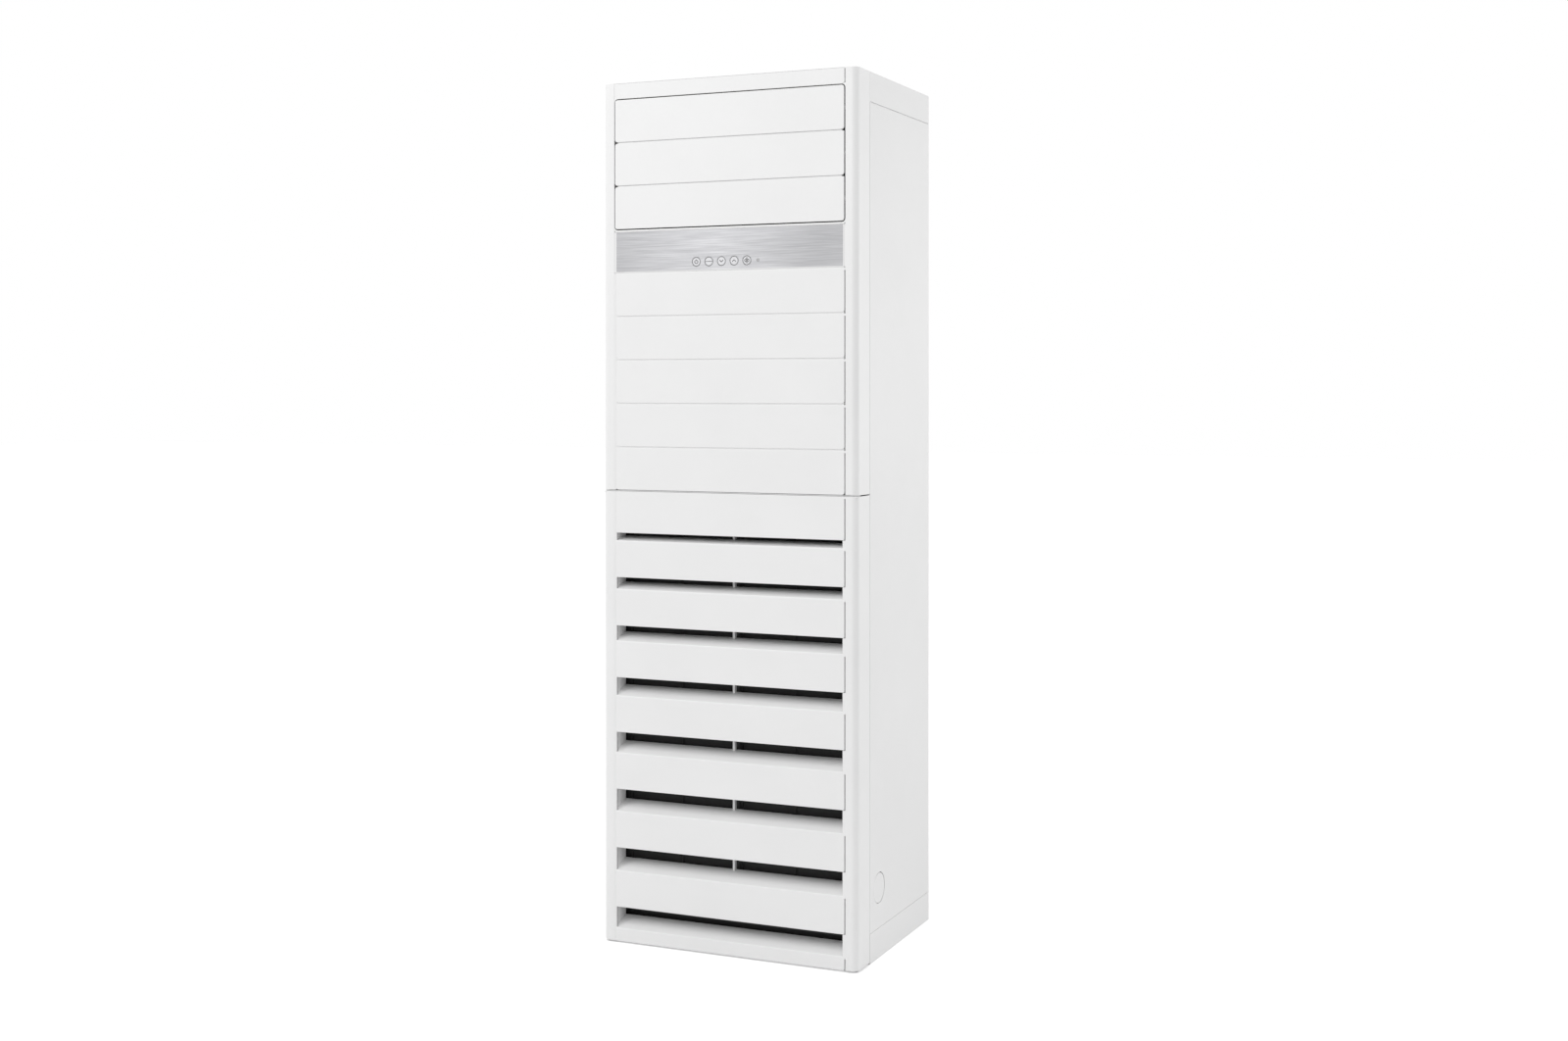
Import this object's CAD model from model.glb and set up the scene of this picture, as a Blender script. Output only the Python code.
"""Looks of a floor standing air conditioner, in metres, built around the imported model.

The origin is on the floor in the middle of the footprint, the front faces -Y and +Z is up.
"""

import math

import bmesh
import bpy
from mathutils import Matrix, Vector

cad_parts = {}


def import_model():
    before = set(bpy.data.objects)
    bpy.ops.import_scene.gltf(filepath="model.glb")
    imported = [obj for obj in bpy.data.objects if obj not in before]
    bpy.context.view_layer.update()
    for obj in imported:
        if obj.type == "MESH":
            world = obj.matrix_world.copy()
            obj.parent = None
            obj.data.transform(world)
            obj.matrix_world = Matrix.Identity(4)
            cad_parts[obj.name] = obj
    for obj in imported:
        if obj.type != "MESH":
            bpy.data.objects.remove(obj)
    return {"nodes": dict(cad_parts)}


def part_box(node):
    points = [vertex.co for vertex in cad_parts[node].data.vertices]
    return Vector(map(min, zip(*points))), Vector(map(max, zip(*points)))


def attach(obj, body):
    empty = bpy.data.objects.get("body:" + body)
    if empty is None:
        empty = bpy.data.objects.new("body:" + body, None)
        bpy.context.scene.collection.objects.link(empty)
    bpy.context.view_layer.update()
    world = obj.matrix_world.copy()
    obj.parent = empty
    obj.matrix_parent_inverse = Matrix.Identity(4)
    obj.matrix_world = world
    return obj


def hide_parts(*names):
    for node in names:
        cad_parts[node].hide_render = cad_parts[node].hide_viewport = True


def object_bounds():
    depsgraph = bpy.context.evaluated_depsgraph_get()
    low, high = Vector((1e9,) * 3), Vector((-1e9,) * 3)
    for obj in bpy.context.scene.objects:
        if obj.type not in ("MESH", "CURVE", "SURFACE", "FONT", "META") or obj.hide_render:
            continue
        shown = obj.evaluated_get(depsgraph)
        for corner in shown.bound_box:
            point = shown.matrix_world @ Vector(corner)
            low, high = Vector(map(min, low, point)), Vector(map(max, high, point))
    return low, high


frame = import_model()
CAD_LOW, CAD_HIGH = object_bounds()

MM = 0.001

# ---------------------------------------------------------------- sizes of the cabinet
FRONT = CAD_LOW.y
BACK = CAD_HIGH.y
SIDE = CAD_HIGH.x
TOP = CAD_HIGH.z
UPPER_LOW, UPPER_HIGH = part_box("upper_front_panel")
LOWER_LOW, LOWER_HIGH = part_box("inlet_grille")
DISPLAY_LOW, DISPLAY_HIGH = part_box("display_panel")
WRAP_END = UPPER_HIGH.y  # where the front panels end on the cabinet's sides
SPLIT = (UPPER_LOW.z + LOWER_HIGH.z) / 2  # height of the seam between them

SHELL = 2.5 * MM  # wall of a moulding
SHEET = 1.5 * MM  # thickness of a steel sheet
BEND = 4 * MM  # outer radius of a sheet's fold
EASE = 0.3 * MM
FINE_EASE = 0.1 * MM
OVERLAP = 1 * MM  # how far a hidden edge reaches into its neighbour
SHORT_OVERLAP = 0.5 * MM
SHARP_ANGLE = 38  # degrees
MITRE_LIMIT = 0.4  # keeps a sharp corner from moving too far when its outline is inset

# ---------------------------------------------------------------- posts, bands and the outlet
CORNER = 12.5 * MM
CORNER_HALF_SWEEP = 31  # degrees
INNER_ROUND = 14 * MM
POST_EDGE = 0.8 * MM
POST_TOP_FILLET = 1.2 * MM
SEAM_FILLET = 0.7 * MM
LID_INSET = 1 * MM
LID_DROP = 0.05 * MM
LID_FILLET = 0.5 * MM
LID_CORNER_START = -80  # degrees

LOUVER_NAMES = ("top", "middle", "bottom")
LOUVERS = len(LOUVER_NAMES)
FIXED_BANDS = 5
PITCH = 93.5 * MM
RELIEF = 2 * MM  # height of the bands over the field behind them
BAND_HALF = DISPLAY_HIGH.x
BAND_BACK = FRONT + RELIEF + SHELL / 2
BAND_GAP = 2.5 * MM
BAND_CORNER = 6 * MM
UPPER_CORNER = 1.5 * MM
BAND_FILLET = 1.2 * MM
FIELD = BAND_HALF + 2 * MM
FIELD_BACK = FRONT + RELIEF + SHELL
FIELD_TOP = TOP - 35 * MM
JOINT_DEPTH = 1.7 * MM

LEFT_BEVEL = 3 * MM
BEVEL_RECESS = 0.01 * MM, 0.02 * MM  # how far its first two points lie behind the post's face
BEVEL_REACH = 0.3 * MM
BEVEL_FOOT = 0.6 * MM
BEVEL_DEPTH = 1.5 * MM

GROOVE_IN = BAND_HALF - 1.2 * MM
GROOVE_DEPTH = 7 * MM
BRIDGE = 5 * MM  # height of a closed place in the groove
BRIDGE_IN = BAND_HALF - 2 * MM
BRIDGE_STEP = 0.2 * MM
BRIDGE_EASE = 0.2 * MM
BRIDGE_DROP = 0.2 * MM
SLOT_BRIDGE_DROP = 0.5 * MM

OPENING_TOP = FIELD_TOP + 0.8 * MM
OPENING_CORNER = BAND_CORNER + 2 * MM
JAMB_BACK = FRONT + 68 * MM
TOP_BAR_STEP = 0.8 * MM
TOP_BAR_LEFT = -FIELD - OVERLAP
TOP_BAR_DROP = 0.1 * MM
TOP_BAR_CORNER = 5 * MM
TOP_BAR_UPPER_CORNER = 0.8 * MM
TOP_BAR_END = 8 * MM  # the square end that stands behind the bar's rounded lower left corner
TOP_BAR_END_STEP = 0.3 * MM
TOP_FIELD_RISE = 6 * MM
STRIP = 4 * MM  # the narrow bar between the louvers and the display
STRIP_CORNER = 1 * MM
STRIP_FILLET = 0.6 * MM

LEDGE_DEPTH = 0.9 * MM
LEDGE_WALL = 2 * MM
LEDGE_PARTS = (  # (end of the ledge along Y, how far it hangs below the upper panel)
    (WRAP_END, 0.8 * MM),
    (FRONT + CORNER + 5 * MM, 2.3 * MM),
)

# ---------------------------------------------------------------- slots and slats
FIRST_BAND = 91 * MM
BOTTOM_BAR = 33.4 * MM
SLOTS = 8
SLOT_FIRST = 16 * MM
SLOT_WIDEST = 48 * MM
SLOT_LAST = 44 * MM
SLOT_GROWTH = 1.7
SLOT_HALF = FIELD - 6 * MM
SLOT_BACK = FRONT + 42 * MM
SILL_SLOPE = 0.45
SILL_RISE_MAX = 18 * MM
SILL_EDGE = 3 * MM
BROW_END = 95  # degrees
SILL_BOW = 0.14  # share of the sill's rise
SILL_STEPS = 8
SLAT_HALF = SLOT_HALF + SHELL / 2
SLAT_CORNER = 3 * MM
SLAT_LIP = 18 * MM
SLAT_ROUND = 0.6 * MM
SLAT_UNDERCUT = 1 * MM
FACE_STEP = 0.03 * MM
BRIM_BACK = FRONT + 30 * MM
RIB_HALF = 2.5 * MM
RIB_FRONT = FRONT + 35 * MM
RIB_BACK = FRONT + 45 * MM
RIB_EASE = 0.8 * MM

HINGE_X = 200 * MM
HINGE_Y = FRONT + 9.5 * MM
HINGE_Z = 15 * MM
HINGE_PIN = 2.5 * MM
HINGE_PIN_HALF = 10 * MM
EAR_NEAR = 9 * MM
EAR_THICK = 3 * MM
EAR_HALF = 4.5 * MM
EAR_REACH = 3.5 * MM

# ---------------------------------------------------------------- louvers
LOUVER_LEFT = -BAND_HALF - 0.5 * MM
LOUVER_RIGHT = BAND_HALF - 0.6 * MM
LOUVER_THICK = 3 * MM
LOUVER_BACK = FRONT + LOUVER_THICK
LOUVER_BACK_EASE = 0.4 * MM
PIVOT_Y = FRONT + 11 * MM
PIVOT_RADIUS = 4 * MM
PIVOT_EASE = 0.4 * MM
LUG_OUT = BAND_HALF - BAND_CORNER
LUG_FRONT = FRONT + 1 * MM
LUG_WIDTH = 3 * MM
LUG_HALF = 8 * MM
LIP_RISE = 3 * MM
LIP_ROOT = 8 * MM
LIP_FRONT = LOUVER_BACK + 0.5 * MM
LIP_BACK = LIP_FRONT + 2 * MM
LIP_STEP = 2.0 * MM
LIP_CLEAR = 0.4 * MM
LIP_EASE = 0.2 * MM
STIFFENER_PLACE = 30 * MM
STIFFENER_FRONT = FRONT + 2 * MM
STIFFENER_BACK = LOUVER_BACK + 3 * MM
STIFFENER_HALF = 0.8 * MM

# ---------------------------------------------------------------- display, keys and lens
BUTTONS = 5
DISPLAY_FRONT = DISPLAY_LOW.y
DISPLAY_BACK = DISPLAY_FRONT + 3 * MM
DISPLAY_CORNER = 0.8 * MM
DISPLAY_EASE = 0.4 * MM
FILM = 0.4 * MM
FILM_INSET = 3 * MM
FILM_LOW_INSET = 1.6 * MM
FILM_HIGH_INSET = 0.6 * MM
SEAT_FRONT = DISPLAY_BACK + 0.3 * MM
SEAT_BACK = SEAT_FRONT + SHELL
SEAT_RIM = 4 * MM
SEAT_CLEAR = 0.2 * MM
BUTTON_CLEAR = 0.4 * MM
KEY_FLANGE = 2 * MM
KEY_FLANGE_THICK = 2 * MM
KEY_EDGE = 0.7 * MM
PRINT_RISE = 0.05 * MM
PRINT_ROOT = 0.2 * MM
RING_OUT = 0.5 * MM  # the printed ring, measured inward from the cap's edge
RING_IN = 1.55 * MM
LENS_RADIUS = 3 * MM
LENS_HOLE = 3.3 * MM
LENS_STEM = 4 * MM
LENS_EDGE = 0.8 * MM

SIGN_LINE = 1.6 * MM
POWER_DROP = 0.2 * MM
POWER_RADIUS = 3.7 * MM
POWER_GAP = 28  # degrees to either side of the stem
POWER_STEM = 1.2 * MM, 4.8 * MM
DASHES = 5
DASH_FIRST = -7.4 * MM
DASH_PITCH = 3.2 * MM
DASH = 2.4 * MM
ARROW_HALF = 4.2 * MM
ARROW_TIP = 1.9 * MM
ARROW_LINE = SIGN_LINE * 1.2
PETALS = 4
PETAL_PLACE = 3.2 * MM
PETAL_RADIUS = 2.0 * MM
PETAL_SWEEP = 345  # degrees
PETAL_LINE = SIGN_LINE * 0.8

# ---------------------------------------------------------------- sheets
KNOCKOUT_Y = FRONT + 124 * MM
KNOCKOUT_Z = 147 * MM
KNOCKOUT_RADIUS = 32.5 * MM
KNOCKOUT_PLUG = KNOCKOUT_RADIUS - 1.3 * MM
KNOCKOUT_SHIFT = 1.1 * MM
KNOCKOUT_BRIDGE = 2.5  # degrees to either side of a bridge's middle
REAR_KNOCKOUT_X = 180 * MM
SIDE_FLANGE = 20 * MM
SIDE_REAR = 25 * MM
SIDE_FRONT_BEND = 1 * MM
SIDE_LOW_REACH = 0.3 * MM
SIDE_TOP_GAP = 0.5 * MM
SIDE_TOP_EASE = 0.35 * MM
COVER_FILLET = 1.4 * MM
BASE_FILLET = 0.8 * MM
TOE_HALF = SIDE - SHELL - 2 * MM
TOE_FRONT = FRONT + 13 * MM
ARM_RADIUS = 4.5 * MM
ARM_HALF = 4.5 * MM
ARM_FOOT = (-4 * MM, 0.2 * MM), (4 * MM, 1.2 * MM)  # (along Y from the arm's slope, height)
REAR_EASE = 0.4 * MM

# ---------------------------------------------------------------- light and camera
WHITE_LIGHT = (1, 1, 1, 1)
FILL = 0.72
FLOOR_SIZE = 60
FLOOR_TONE = 0.9
FLOOR_GLOW = 0.36
LAMPS = (  # (name, place, target, size, power)
    ("key_light", (-3.6, -3.6, 4.0), (0, 0, 1.4), 2.0, 80),
    ("side_light", (3.8, 3.6, 1.4), (0, 0, 0.9), 2.0, 52),
    ("top_light", (0.4, -2.2, 5.2), (0, 0, 1.2), 2.4, 45),
)
CAMERA_PLACE = (1.708, -3.813, 1.191)
CAMERA_YAW = 23.69
CAMERA_LENS = 43.5
CAMERA_SHIFT = -0.0836
SENSOR = 36


# ---------------------------------------------------------------- materials
class Tree:
    """A node tree, with short calls for adding and linking nodes."""

    def __init__(self, tree):
        self.tree = tree

    def add(self, kind, values=None, **settings):
        """A node with its settings, and with values on its inputs."""
        node = self.tree.nodes.new(kind)
        for key, value in settings.items():
            setattr(node, key, value)
        for key, value in (values or {}).items():
            node.inputs[key].default_value = value
        return node

    def link(self, output, target):
        self.tree.links.new(output, target)

    def calculate(self, operation, first, second):
        node = self.add("ShaderNodeMath", operation=operation)
        self.link(first, node.inputs[0])
        self.link(second, node.inputs[1])
        return node.outputs["Value"]

    def blend(self, factor, first, second):
        """One shader where the factor is 0, the other where it is 1."""
        node = self.add("ShaderNodeMixShader")
        self.link(factor, node.inputs["Fac"])
        self.link(first, node.inputs[1])
        self.link(second, node.inputs[2])
        return node.outputs["Shader"]


class Nodes(Tree):
    """A material's node tree, with short calls for the nodes used here."""

    def __init__(self, name):
        self.material = bpy.data.materials.new(name)
        self.material.use_nodes = True
        super().__init__(self.material.node_tree)
        self.shader = self.tree.nodes["Principled BSDF"]

    def place(self, scale=(1, 1, 1)):
        """Object coordinates, scaled."""
        coordinates = self.add("ShaderNodeTexCoord")
        mapping = self.add("ShaderNodeMapping", {"Scale": scale})
        self.link(coordinates.outputs["Object"], mapping.inputs["Vector"])
        return mapping.outputs["Vector"]

    def noise(self, where, scale, detail=3.0):
        node = self.add("ShaderNodeTexNoise", {"Scale": scale, "Detail": detail})
        self.link(where, node.inputs["Vector"])
        return node.outputs["Fac"]

    def cells(self, scale, **settings):
        """Cells that fill the space: flakes, beads or the fields between tracks."""
        node = self.add("ShaderNodeTexVoronoi", {"Scale": scale}, **settings)
        self.link(self.place(), node.inputs["Vector"])
        return node.outputs

    def wave(self, axis, scale, distortion=0.0):
        values = {"Scale": scale, "Distortion": distortion}
        node = self.add("ShaderNodeTexWave", values, bands_direction=axis)
        self.link(self.place(), node.inputs["Vector"])
        return node.outputs["Fac"]

    def ramp(self, factor, *stops):
        """A colour between two stops, each a position and its colour."""
        node = self.add("ShaderNodeValToRGB")
        for stop, (position, color) in zip(node.color_ramp.elements, stops):
            stop.position = position
            stop.color = (*color, 1)
        self.link(factor, node.inputs["Fac"])
        return node.outputs["Color"]

    def spread(self, factor, low, high):
        node = self.add("ShaderNodeMapRange", {"To Min": low, "To Max": high})
        self.link(factor, node.inputs["Value"])
        return node.outputs["Result"]

    def smooth_step(self, value, start, end, low=0.0, high=1.0):
        values = {"From Min": start, "From Max": end, "To Min": low, "To Max": high}
        node = self.add("ShaderNodeMapRange", values, interpolation_type="SMOOTHSTEP")
        self.link(value, node.inputs["Value"])
        return node.outputs["Result"]

    def multiply(self, color, layer):
        node = self.add("ShaderNodeMix", {"Factor": 1.0}, data_type="RGBA", blend_type="MULTIPLY")
        self.link(color, node.inputs["A"])
        self.link(layer, node.inputs["B"])
        return node.outputs["Result"]

    def bump(self, height, strength, distance):
        node = self.add("ShaderNodeBump", {"Strength": strength, "Distance": distance})
        self.link(height, node.inputs["Height"])
        self.link(node.outputs["Normal"], self.shader.inputs["Normal"])

    def color(self, output):
        self.link(output, self.shader.inputs["Base Color"])

    def roughness(self, output):
        self.link(output, self.shader.inputs["Roughness"])

    def uniform(self, socket, value):
        self.shader.inputs[socket].default_value = value


def grey(value, warm=0.0):
    return (value + warm, value, value - warm)


def silver(value):
    """A grey with a trace of blue."""
    return (value, value, value + 0.02)


def moulded(name, low, high, rough=(0.38, 0.46), grain=2600, depth=0.02 * MM):
    """Moulded plastic: a faint tone drift and a fine skin."""
    nodes = Nodes(name)
    where = nodes.place()
    nodes.color(nodes.ramp(nodes.noise(where, scale=6), (0.3, low), (0.7, high)))
    nodes.roughness(nodes.spread(nodes.noise(where, scale=40), *rough))
    nodes.bump(nodes.noise(where, grain, detail=2), strength=0.12, distance=depth)
    return nodes.material


def powder_coat(name, low, high):
    """Powder coated steel: the slow ripple of the coat over a fine grain."""
    nodes = Nodes(name)
    where = nodes.place()
    nodes.color(nodes.ramp(nodes.noise(where, scale=5), (0.3, low), (0.7, high)))
    nodes.roughness(nodes.spread(nodes.noise(where, scale=90), 0.40, 0.52))
    nodes.bump(nodes.noise(where, scale=700), strength=0.10, distance=0.05 * MM)
    return nodes.material


def brushed_silver(name, low, high):
    """Silver film with fine horizontal brush lines and a slow glow left of its middle."""
    glow_left, glow_middle, glow_right = -0.32, -0.03, 0.24
    nodes = Nodes(name)
    streaks = nodes.noise(nodes.place((15, 15, 640)), scale=1.0)
    broad = nodes.noise(nodes.place((4, 4, 120)), scale=1.0)
    fine = nodes.ramp(streaks, (0.34, silver(low)), (0.66, silver(high)))
    slow = nodes.ramp(broad, (0.30, grey(0.90)), (0.70, grey(1.0)))
    place = nodes.add("ShaderNodeSeparateXYZ")
    nodes.link(nodes.place(), place.inputs["Vector"])
    rise = nodes.smooth_step(place.outputs["X"], glow_left, glow_middle)
    fall = nodes.smooth_step(place.outputs["X"], glow_middle, glow_right, 1.0, 0.0)
    glow = nodes.calculate("MULTIPLY", rise, fall)
    shade = nodes.ramp(glow, (0.0, grey(0.76)), (1.0, grey(1.0)))
    nodes.color(nodes.multiply(nodes.multiply(fine, slow), shade))
    nodes.uniform("Metallic", 0.25)
    nodes.roughness(nodes.spread(streaks, 0.34, 0.5))
    nodes.bump(streaks, strength=0.10, distance=0.02 * MM)
    return nodes.material


def metal(name, low, high, scale, stretch=(1, 1, 1)):
    """Bare metal with a grain that can be drawn out along an axis."""
    nodes = Nodes(name)
    grain = nodes.noise(nodes.place(stretch), scale, detail=4)
    nodes.color(nodes.ramp(grain, (0.35, low), (0.65, high)))
    nodes.uniform("Metallic", 0.9)
    nodes.roughness(nodes.spread(grain, 0.3, 0.5))
    nodes.bump(grain, strength=0.08, distance=0.05 * MM)
    return nodes.material


def spangled(name):
    """Hot dip galvanised sheet with its crystal flakes."""
    nodes = Nodes(name)
    tone = nodes.add("ShaderNodeSeparateColor")
    nodes.link(nodes.cells(scale=110)["Color"], tone.inputs["Color"])
    nodes.color(nodes.ramp(tone.outputs["Red"], (0.0, grey(0.40, -0.01)), (1.0, grey(0.56, -0.01))))
    nodes.uniform("Metallic", 0.85)
    nodes.roughness(nodes.spread(tone.outputs["Green"], 0.34, 0.52))
    return nodes.material


def finned():
    """Thin aluminium fins that stand side by side along X."""
    nodes = Nodes("coil_fins")
    fins = nodes.wave("X", scale=180, distortion=0.4)
    nodes.color(nodes.ramp(fins, (0.1, grey(0.10)), (0.8, grey(0.68))))
    nodes.uniform("Metallic", 0.8)
    nodes.uniform("Roughness", 0.38)
    nodes.bump(fins, strength=0.6, distance=0.6 * MM)
    return nodes.material


def beaded_foam():
    """Expanded foam: small beads pressed against each other."""
    nodes = Nodes("bead_foam")
    beads = nodes.cells(scale=260)["Distance"]
    nodes.color(nodes.ramp(beads, (0.2, grey(0.86)), (0.8, grey(0.74))))
    nodes.uniform("Roughness", 0.85)
    nodes.bump(beads, strength=0.35, distance=0.6 * MM)
    return nodes.material


def filter_net():
    """A fine dark net of square meshes on its frame."""
    nodes = Nodes("filter_net")
    net = nodes.calculate("MAXIMUM", nodes.wave("X", scale=150), nodes.wave("Z", scale=150))
    nodes.color(nodes.ramp(net, (0.5, grey(0.006)), (0.95, grey(0.035))))
    nodes.uniform("Roughness", 0.75)
    nodes.bump(net, strength=0.5, distance=0.3 * MM)
    return nodes.material


def circuit_board():
    """Green board with paler tracks."""
    nodes = Nodes("circuit_board")
    edges = nodes.cells(scale=95, distance="MANHATTAN", feature="DISTANCE_TO_EDGE")["Distance"]
    nodes.color(nodes.ramp(edges, (0.02, (0.05, 0.30, 0.12)), (0.06, (0.01, 0.10, 0.035))))
    nodes.uniform("Roughness", 0.35)
    return nodes.material


WHITE = moulded("white_moulding", grey(0.80), grey(0.82))
WHITE_STEEL = powder_coat("white_powder_coat", grey(0.78), grey(0.80))
SILVER = brushed_silver("brushed_silver", 0.58, 0.73)
KEY = brushed_silver("key_film", 0.70, 0.80)
ICON = moulded("printed_icon", grey(0.07), grey(0.09), (0.4, 0.5))
LENS = moulded("indicator_lens_skin", grey(0.44), grey(0.50), (0.12, 0.2))
GREY_PLASTIC = moulded("grey_moulding", grey(0.15), grey(0.19), (0.5, 0.6), 900, 0.1 * MM)
BLACK_PLASTIC = moulded("black_moulding", grey(0.010), grey(0.018), (0.5, 0.62), 900, 0.1 * MM)
ZINC = spangled("galvanised")
PAINTED_BASE = powder_coat("base_powder_coat", grey(0.78), grey(0.80))
FOAM = beaded_foam()
FINS = finned()
COPPER = metal("drawn_copper", (0.50, 0.21, 0.11), (0.62, 0.29, 0.16), 30, stretch=(1, 1, 0.1))
BRASS = metal("turned_brass", (0.58, 0.40, 0.14), (0.68, 0.50, 0.20), 60)
MOTOR = metal("rolled_steel", grey(0.26), grey(0.36), 40, stretch=(1, 8, 1))
BOARD = circuit_board()
NET = filter_net()


# ---------------------------------------------------------------- outlines and solids
def arc(x, y, radius, start, end, steps=8):
    """Points of an arc, angles in degrees."""
    points = []
    for i in range(steps + 1):
        angle = math.radians(start + (end - start) * i / steps)
        points.append(Vector((x + radius * math.cos(angle), y + radius * math.sin(angle))))
    return points


def rounded(x0, x1, y0, y1, low_radius, high_radius=None, high_left=None):
    """A rectangle with rounded corners: one radius below, another above, a third at the top left."""
    high_radius = low_radius if high_radius is None else high_radius
    high_left = high_radius if high_left is None else high_left
    return (
        arc(x0 + low_radius, y0 + low_radius, low_radius, 180, 270)
        + arc(x1 - low_radius, y0 + low_radius, low_radius, 270, 360)
        + arc(x1 - high_radius, y1 - high_radius, high_radius, 0, 90)
        + arc(x0 + high_left, y1 - high_left, high_left, 90, 180)
    )


def circle(x, y, radius, steps=48):
    return arc(x, y, radius, 0, 360 * (steps - 1) / steps, steps - 1)


def crescent(x, y, outer_radius, inner_radius, start, end, steps, shift=0.0):
    """Part of a ring, whose inner edge can be shifted along the first axis."""
    outer = arc(x, y, outer_radius, start, end, steps)
    inner = arc(x - shift, y, inner_radius, end, start, steps)
    return outer + inner


def mirrored(outline):
    """The outline on the other side of the middle, running the same way round."""
    return [Vector((-p.x, p.y)) for p in reversed(outline)]


def inset(outline, distance):
    """The counterclockwise outline moved inward, corner by corner."""
    moved = []
    count = len(outline)
    for i, here in enumerate(outline):
        along = (here - outline[i - 1]).normalized()
        away = (outline[(i + 1) % count] - here).normalized()
        first = Vector((-along.y, along.x))
        second = Vector((-away.y, away.x))
        middle = (first + second).normalized()
        moved.append(here + middle * (distance / max(middle.dot(first), MITRE_LIMIT)))
    return moved


def loft(bm, rings):
    """One closed body through rings of as many points, capped at both ends."""
    rows = [[bm.verts.new(point) for point in ring] for ring in rings]
    count = len(rows[0])
    for low, high in zip(rows, rows[1:]):
        for i in range(count):
            j = (i + 1) % count
            bm.faces.new((low[i], low[j], high[j], high[i]))
    bm.faces.new(list(reversed(rows[0])))
    bm.faces.new(rows[-1])


def lifted(outline, axis, level):
    """An outline placed across an axis: y and z for x, x and z for y, x and y for z."""
    if axis == "x":
        return [(level, p.x, p.y) for p in outline]
    if axis == "y":
        return [(p.x, level, p.y) for p in outline]
    return [(p.x, p.y, level) for p in outline]


def rounding(end, fillet, inward, steps):
    """(level, inset) of each ring in a rounded edge, from the end of the solid inward."""
    rings = []
    for k in range(steps + 1):
        angle = math.pi / 2 * k / steps
        rings.append((end + inward * fillet * (1 - math.cos(angle)), fillet * (1 - math.sin(angle))))
    return rings


def prism(bm, outline, axis, low, high, low_fillet=0.0, high_fillet=0.0, steps=3):
    """A straight solid across an axis, with rounded edges at either end."""
    levels = rounding(low, low_fillet, 1, steps) if low_fillet else [(low, 0.0)]
    levels += reversed(rounding(high, high_fillet, -1, steps)) if high_fillet else [(high, 0.0)]
    loft(bm, [lifted(inset(outline, edge) if edge else outline, axis, level) for level, edge in levels])


def slab(bm, x0, x1, y0, y1, z0, z1, ease=EASE):
    """A plain block whose edges are eased by a third of a side at most."""
    radius = min(ease, (x1 - x0) / 3, (z1 - z0) / 3)
    depth = min(ease, (y1 - y0) / 3)
    prism(bm, rounded(x0, x1, z0, z1, radius), "y", y0, y1, depth, depth, steps=2)


def middle_slab(bm, half, y0, y1, z0, z1, ease=EASE):
    """A block that reaches as far to the left as to the right."""
    slab(bm, -half, half, y0, y1, z0, z1, ease)


def side_slab(bm, sign, near, far, y0, y1, z0, z1, ease=EASE):
    """A block between two distances from the middle, on one side of it."""
    left, right = sorted((sign * near, sign * far))
    slab(bm, left, right, y0, y1, z0, z1, ease)


def tray(bm, outline, thickness, open_level, closed_level, fillet):
    """A hollow box across Z, open at one end, with a rounded closed edge."""
    sign = 1 if closed_level > open_level else -1
    inner = inset(outline, thickness)
    rings = [lifted(inner, "z", closed_level - sign * thickness), lifted(inner, "z", open_level)]
    rings.append(lifted(outline, "z", open_level))
    for level, edge in reversed(rounding(closed_level, fillet, -sign, steps=4)):
        rings.append(lifted(inset(outline, edge), "z", level))
    loft(bm, rings)


def stroke(points, width):
    """The outline of a line of some width through the points."""
    left, right = [], []
    for i, here in enumerate(points):
        before = points[max(i - 1, 0)]
        after = points[min(i + 1, len(points) - 1)]
        along = (after - before).normalized()
        across = Vector((-along.y, along.x)) * (width / 2)
        left.append(here + across)
        right.append(here - across)
    return right + list(reversed(left))


# ---------------------------------------------------------------- pieces
def piece(name, bm, material, body, nodes=()):
    """Turns the mesh into a piece of the object, riding on a body."""
    bmesh.ops.recalc_face_normals(bm, faces=bm.faces)
    mesh = bpy.data.meshes.new(name)
    bm.to_mesh(mesh)
    bm.free()
    for polygon in mesh.polygons:
        polygon.use_smooth = True
    mesh.set_sharp_from_angle(angle=math.radians(SHARP_ANGLE))
    mesh.materials.append(material)
    obj = bpy.data.objects.new(name, mesh)
    bpy.context.scene.collection.objects.link(obj)
    normals = obj.modifiers.new("even_normals", "WEIGHTED_NORMAL")
    normals.keep_sharp = True
    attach(obj, body)
    if nodes:
        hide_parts(*nodes)
    return obj


def cut(obj, cutter_bm):
    """Cuts a shape out of the piece for good."""
    bmesh.ops.recalc_face_normals(cutter_bm, faces=cutter_bm.faces)
    mesh = bpy.data.meshes.new("cutter")
    cutter_bm.to_mesh(mesh)
    cutter_bm.free()
    cutter = bpy.data.objects.new("cutter", mesh)
    bpy.context.scene.collection.objects.link(cutter)
    boolean = obj.modifiers.new("cut", "BOOLEAN")
    boolean.operation = "DIFFERENCE"
    boolean.solver = "EXACT"
    boolean.object = cutter
    bpy.context.view_layer.objects.active = obj
    bpy.ops.object.modifier_move_to_index(modifier="cut", index=0)
    bpy.ops.object.modifier_apply(modifier="cut")
    bpy.data.objects.remove(cutter)
    obj.data.set_sharp_from_angle(angle=math.radians(SHARP_ANGLE))


# ---------------------------------------------------------------- front panels
def cell_top(index):
    """Upper end of a band's share of the front, counted from the top louver."""
    return FIELD_TOP - index * PITCH


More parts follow.
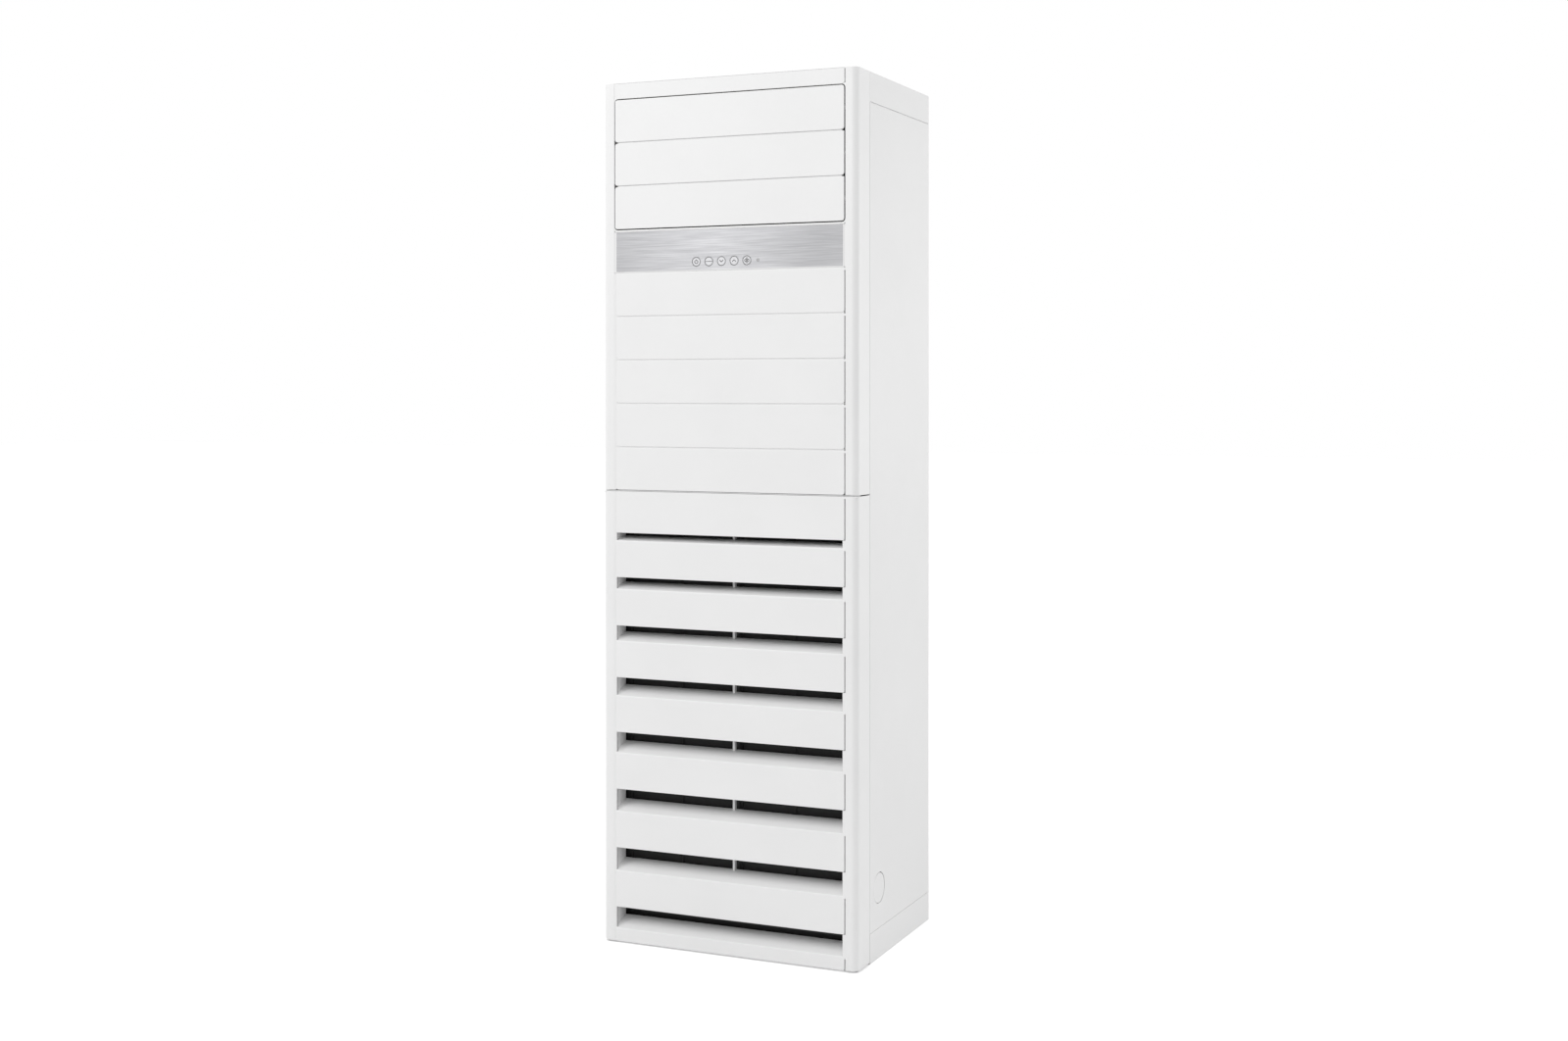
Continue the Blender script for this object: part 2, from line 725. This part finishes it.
def slot_levels():
    """(top, bottom) of each inlet slot. The slats share the height that the slots leave."""
    last = SLOTS - 1
    heights = []
    for i in range(last):
        share = 1 - (1 - i / (last - 1)) ** SLOT_GROWTH
        heights.append(SLOT_FIRST + (SLOT_WIDEST - SLOT_FIRST) * share)
    heights.append(SLOT_LAST)
    slat = (SPLIT - FIRST_BAND - BOTTOM_BAR - sum(heights)) / last
    levels = []
    top = SPLIT - FIRST_BAND
    for height in heights:
        levels.append((top, top - height))
        top -= height + slat
    return levels


def corner_points():
    """The front corner: a flattened arc that meets the front and the side at a faint edge."""
    half_chord = CORNER / math.sqrt(2)
    radius = half_chord / math.sin(math.radians(CORNER_HALF_SWEEP))
    reach = radius * math.cos(math.radians(CORNER_HALF_SWEEP)) / math.sqrt(2)
    middle_x = SIDE - CORNER / 2 - reach
    middle_y = FRONT + CORNER / 2 + reach
    return arc(middle_x, middle_y, radius, -45 - CORNER_HALF_SWEEP, -45 + CORNER_HALF_SWEEP, steps=16)


def inner_corner(wall, start):
    """The rounder line that follows the front corner inside it, at a wall's thickness."""
    centre = wall + INNER_ROUND
    return arc(SIDE - centre, FRONT + centre, INNER_ROUND, start, 0, steps=10)


def post_outline(sign):
    """A post from above: flat front, rounded corner, and its wrap round the side."""
    right = (
        arc(FIELD + POST_EDGE, FRONT + POST_EDGE, POST_EDGE, 180, 270, steps=4)
        + corner_points()
        + [Vector((SIDE, WRAP_END)), Vector((SIDE - SHELL, WRAP_END))]
        + list(reversed(inner_corner(SHELL, -90)))
        + [Vector((FIELD, FIELD_BACK))]
    )
    return right if sign > 0 else mirrored(right)


def lid_outline():
    """The flat top between the posts' tops."""
    corner = inner_corner(LID_INSET, LID_CORNER_START)
    return (
        [Vector((-FIELD, FRONT + RELIEF)), Vector((FIELD, FRONT + RELIEF))]
        + corner
        + [Vector((SIDE - LID_INSET, WRAP_END)), Vector((-SIDE + LID_INSET, WRAP_END))]
        + mirrored(corner)
    )


def ledge_outline(end):
    """The ledge behind the split seam from above: it follows the front and the sides up to a depth."""
    inside = LEDGE_DEPTH + LEDGE_WALL
    outer = inner_corner(LEDGE_DEPTH, -90) + [Vector((SIDE - LEDGE_DEPTH, end))]
    inner = inner_corner(inside, -90) + [Vector((SIDE - inside, end))]
    back = list(reversed(inner))
    return mirrored(outer) + outer + back + mirrored(back)


def band(bm, z0, z1, radius):
    """A raised band with rounded lower corners and an eased front edge."""
    outline = rounded(-BAND_HALF + LEFT_BEVEL, BAND_HALF, z0, z1, radius, UPPER_CORNER)
    prism(bm, outline, "y", FRONT, BAND_BACK, BAND_FILLET)


def bridge(bm, low, high, inner):
    """Closes the groove along the right post between two heights."""
    slab(bm, inner, FIELD + SHORT_OVERLAP, FRONT + BRIDGE_STEP, FIELD_BACK, low, high, BRIDGE_EASE)


def left_bevel(bm, z0, z1):
    """The sloped inner edge of the left post."""
    root = -FIELD - OVERLAP
    foot = -BAND_HALF + LEFT_BEVEL + BEVEL_FOOT
    root_recess, slope_recess = BEVEL_RECESS
    outline = [
        Vector((root, FIELD_BACK)),
        Vector((foot, FIELD_BACK)),
        Vector((foot, FRONT + BEVEL_DEPTH)),
        Vector((-FIELD + BEVEL_REACH, FRONT + slope_recess)),
        Vector((root, FRONT + root_recess)),
    ]
    prism(bm, outline, "z", z0, z1)


def spandrel(bm, sign, up, level):
    """Fills a square corner of the louver opening to a round one."""
    points = arc(FIELD - OPENING_CORNER, level - up * OPENING_CORNER, OPENING_CORNER, 0, 90 * up)
    points.append(Vector((FIELD + SHORT_OVERLAP, level + up * SHORT_OVERLAP)))
    if up < 0:
        points.reverse()
    if sign < 0:
        points = mirrored(points)
    prism(bm, points, "y", FRONT + TOP_BAR_STEP, FIELD_BACK)


def field_wall(bm, z0, z1):
    """The flat field behind the bands, and the deeper groove along the right post."""
    slab(bm, -FIELD - OVERLAP, GROOVE_IN, FRONT + JOINT_DEPTH, FIELD_BACK, z0, z1, FINE_EASE)
    groove_floor(bm, z0, z1)


def groove_floor(bm, z0, z1):
    """The floor of the groove along the right post."""
    floor = FRONT + GROOVE_DEPTH
    slab(bm, GROOVE_IN - OVERLAP, FIELD + OVERLAP, floor, floor + SHELL / 2, z0, z1, FINE_EASE)


def top_bar(bm):
    """The bar over the louvers. It ends square at the left post and rounded at the groove."""
    front = FRONT + TOP_BAR_STEP
    bar = rounded(
        TOP_BAR_LEFT, BAND_HALF, OPENING_TOP, TOP - TOP_BAR_DROP, TOP_BAR_CORNER, TOP_BAR_UPPER_CORNER
    )
    prism(bm, bar, "y", front, FIELD_BACK, BAND_FILLET)
    end_right = TOP_BAR_LEFT + TOP_BAR_END
    end_top = OPENING_TOP + TOP_BAR_END
    slab(bm, TOP_BAR_LEFT, end_right, front + TOP_BAR_END_STEP, FIELD_BACK, OPENING_TOP, end_top)
    field_wall(bm, OPENING_TOP + TOP_FIELD_RISE, TOP - SHELL / 2)


def display_seat(bm, high):
    """The rim behind the display panel and the walls at its ends."""
    low = DISPLAY_LOW.z
    middle_slab(bm, FIELD, SEAT_FRONT, SEAT_BACK, high - SEAT_RIM, high + OVERLAP)
    middle_slab(bm, FIELD, SEAT_FRONT, SEAT_BACK, low - SHELL, low + SEAT_RIM)
    wall_near, wall_far = BAND_HALF + SEAT_CLEAR, FIELD + SHORT_OVERLAP
    for sign in (-1, 1):
        side_slab(bm, sign, BAND_HALF - SEAT_RIM, FIELD, SEAT_FRONT, SEAT_BACK, low, high)
        side_slab(bm, sign, wall_near, wall_far, DISPLAY_FRONT + FILM / 2, SEAT_BACK, low, high)


def upper_front():
    """The upper panel: posts, top bar, outlet, fixed bands, and the display's seat."""
    bm = bmesh.new()
    outlet_end = cell_top(LOUVERS)
    strip_top = outlet_end - BAND_GAP / 2
    display_end = cell_top(LOUVERS + 1)
    jamb = (FIELD, FIELD + SHELL, FRONT + RELIEF, JAMB_BACK, outlet_end - STRIP, OPENING_TOP + SHELL)
    for sign in (-1, 1):
        prism(bm, post_outline(sign), "z", UPPER_LOW.z, TOP, SEAM_FILLET, POST_TOP_FILLET)
        side_slab(bm, sign, *jamb)
    prism(bm, lid_outline(), "z", TOP - SHELL, TOP - LID_DROP, high_fillet=LID_FILLET)
    top_bar(bm)
    for sign in (-1, 1):
        spandrel(bm, sign, 1, OPENING_TOP)
        spandrel(bm, sign, -1, strip_top)
    left_bevel(bm, UPPER_LOW.z, display_end - BAND_GAP / 2)
    for cell in range(LOUVERS + 1, LOUVERS + 1 + FIXED_BANDS):
        top = cell_top(cell) - BAND_GAP / 2
        band(bm, max(cell_top(cell + 1) + BAND_GAP / 2, UPPER_LOW.z), top, BAND_CORNER)
        bridge(bm, top - BRIDGE, top - BRIDGE_DROP, BRIDGE_IN)
    field_wall(bm, UPPER_LOW.z, display_end + BAND_GAP / 2)
    strip = rounded(-BAND_HALF, BAND_HALF, strip_top - STRIP, strip_top, STRIP_CORNER)
    prism(bm, strip, "y", FRONT, FIELD_BACK, STRIP_FILLET)
    middle_slab(bm, FIELD, FRONT + RELIEF, JAMB_BACK, strip_top - SHELL, strip_top)
    for end, drop in LEDGE_PARTS:
        prism(bm, ledge_outline(end), "z", UPPER_LOW.z - drop, UPPER_LOW.z + OVERLAP)
    middle_slab(bm, FIELD, FRONT + RELIEF, JAMB_BACK, OPENING_TOP, OPENING_TOP + SHELL)
    display_seat(bm, strip_top - STRIP)
    piece("upper_front", bm, WHITE, "cabinet", ["upper_front_panel"])


def slat_section(slot_top, slot_bottom, next_top):
    """Section of the slat under a slot: face, rounded brow, sill rising inward, and the lip below."""
    rise = min(SILL_RISE_MAX, SILL_SLOPE * (slot_top - slot_bottom))
    face_foot = arc(FRONT + SLAT_ROUND, next_top + SLAT_ROUND, SLAT_ROUND, 270, 180, steps=3)
    brow = arc(FRONT + SILL_EDGE, slot_bottom - SILL_EDGE, SILL_EDGE, 180, BROW_END, steps=6)
    sill = []
    for k in range(1, SILL_STEPS + 1):
        share = k / SILL_STEPS
        y = FRONT + SILL_EDGE + (SLOT_BACK - FRONT - SILL_EDGE) * share
        bow = SILL_BOW * rise * math.sin(math.pi * share)
        sill.append(Vector((y, slot_bottom + rise * share + bow)))
    under = [
        Vector((SLOT_BACK, slot_bottom + rise - SHELL)),
        Vector((FIELD_BACK, slot_bottom - SHELL - SLAT_UNDERCUT)),
    ]
    lip = [
        Vector((FIELD_BACK, next_top + SHELL)),
        Vector((FRONT + SLAT_LIP, next_top + SHELL)),
        Vector((FRONT + SLAT_LIP, next_top)),
    ]
    return list(reversed(face_foot + brow + sill + under + lip))


def hinge_foot(bm, x):
    """A pin of the grille, held between two ears."""
    pin = circle(HINGE_Y, HINGE_Z, HINGE_PIN, steps=24)
    prism(bm, pin, "x", x - HINGE_PIN_HALF, x + HINGE_PIN_HALF)
    front, back = FIELD_BACK - OVERLAP, HINGE_Y + EAR_REACH
    for left in (x - EAR_NEAR - EAR_THICK, x + EAR_NEAR):
        slab(bm, left, left + EAR_THICK, front, back, HINGE_Z - EAR_HALF, HINGE_Z + EAR_HALF)


def inlet_panel():
    """The lower panel: posts, plain band, slats with their sills, rib and hinge feet."""
    bm = bmesh.new()
    levels = slot_levels()
    slots_top, slots_low = levels[0][0], levels[-1][1]
    cheek = (FRONT + RELIEF, FIELD_BACK, LOWER_LOW.z, LOWER_HIGH.z, FINE_EASE)
    wall = (FRONT + RELIEF, SLOT_BACK, slots_low - SHELL, slots_top + SHELL)
    for sign in (-1, 1):
        prism(bm, post_outline(sign), "z", LOWER_LOW.z, LOWER_HIGH.z, SEAM_FILLET, SEAM_FILLET)
        cheek_end = GROOVE_IN if sign > 0 else FIELD + SHORT_OVERLAP
        side_slab(bm, sign, SLOT_HALF, cheek_end, *cheek)
        side_slab(bm, sign, SLOT_HALF, SLOT_HALF + SHELL, *wall)
    band(bm, slots_top, LOWER_HIGH.z, SLAT_CORNER)
    bridge(bm, LOWER_HIGH.z - BRIDGE, LOWER_HIGH.z - BRIDGE_DROP, BRIDGE_IN)
    groove_floor(bm, LOWER_LOW.z, slots_top)
    left_bevel(bm, LOWER_LOW.z, LOWER_HIGH.z)
    field_wall(bm, slots_top, LOWER_HIGH.z)
    middle_slab(bm, SLAT_HALF, FRONT + RELIEF, FRONT + SLAT_LIP, slots_top, slots_top + SHELL)
    slat_feet = [top for top, _ in levels[1:]] + [LOWER_LOW.z]
    for (top, bottom), foot in zip(levels, slat_feet):
        prism(bm, slat_section(top, bottom, foot), "x", -SLAT_HALF, SLAT_HALF)
        left, low, high = -BAND_HALF + LEFT_BEVEL, foot + FACE_STEP, bottom - SILL_EDGE
        face = rounded(left, BAND_HALF, low, high, SLAT_CORNER, UPPER_CORNER)
        prism(bm, face, "y", FRONT + FACE_STEP, BAND_BACK, BAND_FILLET)
        bridge(bm, high - SLAT_CORNER, top - SLOT_BRIDGE_DROP, SLOT_HALF)
    middle_slab(bm, RIB_HALF, RIB_FRONT, RIB_BACK, levels[-2][1], slots_top + SHELL, RIB_EASE)
    middle_slab(bm, SIDE - SHELL, FRONT + RELIEF, BRIM_BACK, LOWER_HIGH.z - SHELL, LOWER_HIGH.z)
    for x in (-HINGE_X, HINGE_X):
        hinge_foot(bm, x)
    piece("inlet_panel", bm, WHITE, "grille_body", ["inlet_grille"])


def outlet_louver(name):
    """A louver: plate, lugs with the pivot pins, stiffeners, and a lip behind the joint above it."""
    node = "louver_" + name
    low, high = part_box(node)
    bm = bmesh.new()
    top = low.z + PITCH - BAND_GAP
    is_first = name == LOUVER_NAMES[0]
    right_corner = BAND_CORNER if is_first else UPPER_CORNER
    outline = rounded(LOUVER_LEFT, LOUVER_RIGHT, low.z, top, BAND_CORNER, right_corner, BAND_CORNER)
    prism(bm, outline, "y", FRONT, LOUVER_BACK, BAND_FILLET, LOUVER_BACK_EASE)
    if not is_first:
        lip_low, joint_low, joint_high = top - LIP_ROOT, top - LIP_RISE, top + BAND_GAP - LIP_CLEAR
        middle_slab(bm, LUG_OUT, FRONT + LOUVER_THICK / 2, LIP_BACK, lip_low, joint_low)
        middle_slab(bm, LUG_OUT, LIP_FRONT, LIP_BACK, lip_low, top + LIP_RISE)
        middle_slab(bm, LUG_OUT, FRONT + LIP_STEP, LIP_BACK, joint_low, joint_high, LIP_EASE)
    middle = (low.z + top) / 2
    for x in (-LUG_OUT, LUG_OUT - LUG_WIDTH, -LUG_WIDTH / 2):
        lug = (x, x + LUG_WIDTH, LUG_FRONT, PIVOT_Y + LUG_HALF)
        slab(bm, *lug, middle - LUG_HALF, middle + LUG_HALF)
    pin = circle(PIVOT_Y, middle, PIVOT_RADIUS, steps=24)
    prism(bm, pin, "x", low.x, -LUG_OUT + OVERLAP, PIVOT_EASE)
    prism(bm, pin, "x", LUG_OUT - OVERLAP, high.x, high_fillet=PIVOT_EASE)
    for z in (middle - STIFFENER_PLACE, middle + STIFFENER_PLACE):
        ends = (z - STIFFENER_HALF, z + STIFFENER_HALF)
        middle_slab(bm, LUG_OUT, STIFFENER_FRONT, STIFFENER_BACK, *ends)
    piece("outlet_louver_" + name, bm, WHITE, node + "_body", [node])


# ---------------------------------------------------------------- display, keys and lens
def button_place(index):
    """Centre and radius of a button's cap, from its retaining flange in the frame."""
    low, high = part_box(f"button_{index}")
    centre = (low + high) / 2
    return centre.x, centre.z, (high.x - low.x) / 2 - KEY_FLANGE


def display():
    """The white carrier and the silver film on it, with holes for the keys and the lens."""
    bm = bmesh.new()
    outline = rounded(-BAND_HALF, BAND_HALF, DISPLAY_LOW.z, DISPLAY_HIGH.z, DISPLAY_CORNER)
    prism(bm, outline, "y", DISPLAY_FRONT + FILM / 2, DISPLAY_BACK, DISPLAY_EASE)
    carrier = piece("display_carrier", bm, WHITE, "cabinet", ["display_panel"])
    bm = bmesh.new()
    film_half = BAND_HALF - FILM_INSET
    film_low, film_high = DISPLAY_LOW.z + FILM_LOW_INSET, DISPLAY_HIGH.z - FILM_HIGH_INSET
    outline = rounded(-film_half, film_half, film_low, film_high, DISPLAY_CORNER)
    prism(bm, outline, "y", DISPLAY_FRONT, DISPLAY_FRONT + FILM, FINE_EASE)
    film = piece("display_face", bm, SILVER, "cabinet")
    hole_ends = (DISPLAY_FRONT - OVERLAP, DISPLAY_BACK + OVERLAP)
    for panel in (carrier, film):
        holes = bmesh.new()
        for index in range(1, BUTTONS + 1):
            x, z, radius = button_place(index)
            prism(holes, circle(x, z, radius + BUTTON_CLEAR), "y", *hole_ends)
        low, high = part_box("indicator_lens")
        centre = (low + high) / 2
        prism(holes, circle(centre.x, centre.z, LENS_HOLE, steps=24), "y", *hole_ends)
        cut(panel, holes)


def power_sign(x, z):
    """An open ring with a stem in its gap."""
    ring = arc(x, z - POWER_DROP, POWER_RADIUS, 90 + POWER_GAP, 450 - POWER_GAP, steps=28)
    stem = [Vector((x, z + end)) for end in POWER_STEM]
    return [stroke(ring, SIGN_LINE), stroke(stem, SIGN_LINE)]


def dash_sign(x, z):
    """A row of short dashes."""
    dashes = []
    for k in range(DASHES):
        start = x + DASH_FIRST + DASH_PITCH * k
        dashes.append(stroke([Vector((start, z)), Vector((start + DASH, z))], SIGN_LINE))
    return dashes


def arrow_sign(x, z, tip):
    """A chevron, its tip up or down."""
    points = [Vector((x - ARROW_HALF, z - tip)), Vector((x, z + tip)), Vector((x + ARROW_HALF, z - tip))]
    return [stroke(points, ARROW_LINE)]


def fan_sign(x, z):
    """Four petals round the middle."""
    petals = []
    for k in range(PETALS):
        angle = math.radians(360 / PETALS * k)
        petal_x = x + PETAL_PLACE * math.cos(angle)
        petal_z = z + PETAL_PLACE * math.sin(angle)
        petal = arc(petal_x, petal_z, PETAL_RADIUS, 0, PETAL_SWEEP, steps=16)
        petals.append(stroke(petal, PETAL_LINE))
    return petals


def key_sign(index, x, z):
    """The generic signs on the five keys: power, mode, down, up and fan."""
    if index == 1:
        return power_sign(x, z)
    if index == 2:
        return dash_sign(x, z)
    if index == 3:
        return arrow_sign(x, z, -ARROW_TIP)
    if index == 4:
        return arrow_sign(x, z, ARROW_TIP)
    return fan_sign(x, z)


def key(index):
    """A key with its flange, and the ring and sign printed on its cap."""
    node = f"button_{index}"
    low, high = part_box(node)
    x, z, radius = button_place(index)
    bm = bmesh.new()
    prism(bm, circle(x, z, radius), "y", low.y, high.y - OVERLAP, KEY_EDGE)
    prism(bm, circle(x, z, radius + KEY_FLANGE), "y", high.y - KEY_FLANGE_THICK, high.y, EASE, EASE)
    piece(f"key_{index}", bm, KEY, node + "_body", [node])
    marks = bmesh.new()
    ring = [
        crescent(x, z, radius - RING_OUT, radius - RING_IN, start, start + 180, steps=24)
        for start in (0, 180)
    ]
    for outline in ring + key_sign(index, x, z):
        prism(marks, outline, "y", low.y - PRINT_RISE, low.y + PRINT_ROOT)
    piece(f"key_mark_{index}", marks, ICON, node + "_body")


def lens():
    """The indicator's lens, with its foot behind the display panel."""
    low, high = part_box("indicator_lens")
    centre = (low + high) / 2
    bm = bmesh.new()
    cap = circle(centre.x, centre.z, LENS_RADIUS, steps=32)
    prism(bm, cap, "y", low.y, high.y - LENS_STEM, LENS_EDGE)
    foot = circle(centre.x, centre.z, (high.x - low.x) / 2, steps=32)
    prism(bm, foot, "y", SEAT_FRONT, high.y, high_fillet=EASE)
    piece("signal_lens", bm, LENS, "cabinet", ["indicator_lens"])


# ---------------------------------------------------------------- cabinet sheets
def slit_cutter(axis, low, high, a, b):
    """The round slit of a knock-out, in two halves between its two bridges."""
    bm = bmesh.new()
    sweep = 180 - 2 * KNOCKOUT_BRIDGE
    for start in (-90 + KNOCKOUT_BRIDGE, 90 + KNOCKOUT_BRIDGE):
        end = start + sweep
        half = crescent(a, b, KNOCKOUT_RADIUS, KNOCKOUT_PLUG, start, end, steps=32, shift=KNOCKOUT_SHIFT)
        prism(bm, half, axis, low, high)
    return bm


def side_panel(sign, name, node):
    """A side sheet, folded inward at the front and the rear, with its knock-out."""
    low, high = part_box(node)
    front = low.y
    right = (
        [Vector((SIDE - SIDE_FLANGE, front))]
        + arc(SIDE - SIDE_FRONT_BEND, front + SIDE_FRONT_BEND, SIDE_FRONT_BEND, -90, 0, steps=4)
        + arc(SIDE - BEND, BACK - BEND, BEND, 0, 90)
        + [Vector((SIDE - SIDE_REAR, BACK)), Vector((SIDE - SIDE_REAR, BACK - SHEET))]
        + list(reversed(arc(SIDE - BEND, BACK - BEND, BEND - SHEET, 0, 90)))
        + [Vector((SIDE - SHEET, front + SHEET)), Vector((SIDE - SIDE_FLANGE, front + SHEET))]
    )
    outline = right if sign > 0 else mirrored(right)
    bm = bmesh.new()
    prism(bm, outline, "z", low.z - SIDE_LOW_REACH, high.z - SIDE_TOP_GAP, EASE, SIDE_TOP_EASE, steps=2)
    panel = piece(name, bm, WHITE_STEEL, "cabinet", [node])
    inner, outer = sorted((sign * (SIDE - 2 * SHEET), sign * (SIDE + SHEET)))
    cut(panel, slit_cutter("x", inner, outer, KNOCKOUT_Y, KNOCKOUT_Z))


def cabinet_outline(front):
    """The cabinet from above, with rounded rear corners."""
    return (
        [Vector((-SIDE, front)), Vector((SIDE, front))]
        + arc(SIDE - BEND, BACK - BEND, BEND, 0, 90)
        + arc(-SIDE + BEND, BACK - BEND, BEND, 90, 180)
    )


def cover():
    """The top cover with its skirt."""
    low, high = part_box("top_cover")
    bm = bmesh.new()
    tray(bm, cabinet_outline(low.y), SHEET, low.z, high.z, COVER_FILLET)
    piece("roof_cover", bm, WHITE_STEEL, "cabinet", ["top_cover"])


def base():
    """The base pan with its skirt, its toe under the front, and the arms that hold the grille's pins."""
    low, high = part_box("base_pan")
    cabinet_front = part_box("right_side_panel")[0].y
    bm = bmesh.new()
    tray(bm, cabinet_outline(cabinet_front), SHEET, high.z, low.z, BASE_FILLET)
    middle_slab(bm, TOE_HALF, TOE_FRONT, cabinet_front + SHEET, 0, SHEET)
    foot = [Vector((HINGE_Y + HINGE_Z + along, up)) for along, up in ARM_FOOT]
    arm = arc(HINGE_Y, HINGE_Z, ARM_RADIUS, 45, 225, steps=10) + foot
    for x in (-HINGE_X, HINGE_X):
        prism(bm, arm, "x", x - ARM_HALF, x + ARM_HALF)
    piece("base_tray", bm, PAINTED_BASE, "cabinet", ["base_pan"])


def rear():
    """The back sheet with its knock-out."""
    low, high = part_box("rear_panel")
    bm = bmesh.new()
    slab(bm, low.x, high.x, low.y, high.y, low.z, high.z, REAR_EASE)
    panel = piece("rear_sheet", bm, WHITE_STEEL, "cabinet", ["rear_panel"])
    cut(panel, slit_cutter("y", low.y - SHEET, high.y + SHEET, REAR_KNOCKOUT_X, KNOCKOUT_Z))


# ---------------------------------------------------------------- what stays as it is in the frame
CARRIED = {
    GREY_PLASTIC: ["louver_link", "vane_rail_bottom", "vane_rail_top", "drain_pipe"]
    + ["louver_crank_" + name for name in LOUVER_NAMES]
    + [f"vane_{i}" for i in range(1, 8)],
    BLACK_PLASTIC: ["vane_link", "blower_wheel", "filter_frame", "terminal_block"],
    ZINC: [
        "louver_motor",
        "vane_motor",
        "duct_front_plate",
        "coil_end_plate_right",
        "coil_end_plate_left",
        "fan_deck",
        "scroll_housing",
        "inlet_ring",
        "motor_bracket",
        "control_box",
        "control_cover",
    ],
    FOAM: ["outlet_duct", "drain_pan"],
    FINS: ["evaporator_coil"],
    COPPER: ["gas_pipe", "liquid_pipe"],
    BRASS: ["gas_flare_nut", "liquid_flare_nut"],
    MOTOR: ["fan_motor", "transformer"],
    BOARD: ["display_board", "main_board"],
    NET: ["air_filter_left", "air_filter_right"],
    WHITE: ["fan_capacitor"],
}


def dress_carried():
    for material, names in CARRIED.items():
        for name in names:
            node = frame["nodes"][name]
            node.data.materials.clear()
            node.data.materials.append(material)


# ---------------------------------------------------------------- stage, light and camera
def stage():
    """A pale floor that the camera sees a little lighter, with the object's shadow on it."""
    bpy.ops.mesh.primitive_plane_add(size=FLOOR_SIZE, location=(0, 0, 0))
    floor = bpy.context.object
    floor.name = "floor"
    nodes = Nodes("pale_floor")
    nodes.uniform("Base Color", (*grey(FLOOR_TONE), 1))
    nodes.uniform("Roughness", 0.9)
    surface = nodes.shader.outputs["BSDF"]
    glow = nodes.add("ShaderNodeEmission", {"Strength": FLOOR_GLOW})
    lighter = nodes.add("ShaderNodeAddShader")
    nodes.link(surface, lighter.inputs[0])
    nodes.link(glow.outputs["Emission"], lighter.inputs[1])
    rays = nodes.add("ShaderNodeLightPath").outputs
    seen = nodes.blend(rays["Is Camera Ray"], surface, lighter.outputs["Shader"])
    nodes.link(seen, nodes.tree.nodes["Material Output"].inputs["Surface"])
    floor.data.materials.append(nodes.material)


def world():
    """White where the camera, glossy and transmitted rays see it, and a soft fill for the rest."""
    sky = bpy.data.worlds.new("studio")
    bpy.context.scene.world = sky
    sky.use_nodes = True
    tree = Tree(sky.node_tree)
    soft = sky.node_tree.nodes["Background"]
    soft.inputs["Color"].default_value = WHITE_LIGHT
    soft.inputs["Strength"].default_value = FILL
    bright = tree.add("ShaderNodeBackground", {"Color": WHITE_LIGHT, "Strength": 1.0})
    rays = tree.add("ShaderNodeLightPath").outputs
    direct = tree.calculate("MAXIMUM", rays["Is Camera Ray"], rays["Is Glossy Ray"])
    direct = tree.calculate("MAXIMUM", direct, rays["Is Transmission Ray"])
    mixed = tree.blend(direct, soft.outputs["Background"], bright.outputs["Background"])
    tree.link(mixed, sky.node_tree.nodes["World Output"].inputs["Surface"])


def lamp(name, place, target, size, power):
    """A round area lamp that points at its target."""
    data = bpy.data.lights.new(name, "AREA")
    data.shape = "DISK"
    data.size = size
    data.energy = power
    obj = bpy.data.objects.new(name, data)
    obj.location = place
    obj.rotation_euler = (Vector(target) - Vector(place)).to_track_quat("-Z", "Y").to_euler()
    bpy.context.scene.collection.objects.link(obj)


def camera():
    """Level camera at the photograph's angle: verticals stay parallel."""
    data = bpy.data.cameras.new("camera")
    data.sensor_width = SENSOR
    data.lens = CAMERA_LENS
    data.shift_y = CAMERA_SHIFT
    obj = bpy.data.objects.new("camera", data)
    obj.location = CAMERA_PLACE
    obj.rotation_euler = (math.radians(90), 0, math.radians(CAMERA_YAW))
    bpy.context.scene.collection.objects.link(obj)
    bpy.context.scene.camera = obj


camera()
world()
stage()
for settings in LAMPS:
    lamp(*settings)
bpy.context.scene.view_settings.view_transform = "Standard"

upper_front()
inlet_panel()
for louver_name in LOUVER_NAMES:
    outlet_louver(louver_name)
display()
for key_index in range(1, BUTTONS + 1):
    key(key_index)
lens()
side_panel(1, "side_sheet_right", "right_side_panel")
side_panel(-1, "side_sheet_left", "left_side_panel")
cover()
base()
rear()
dress_carried()
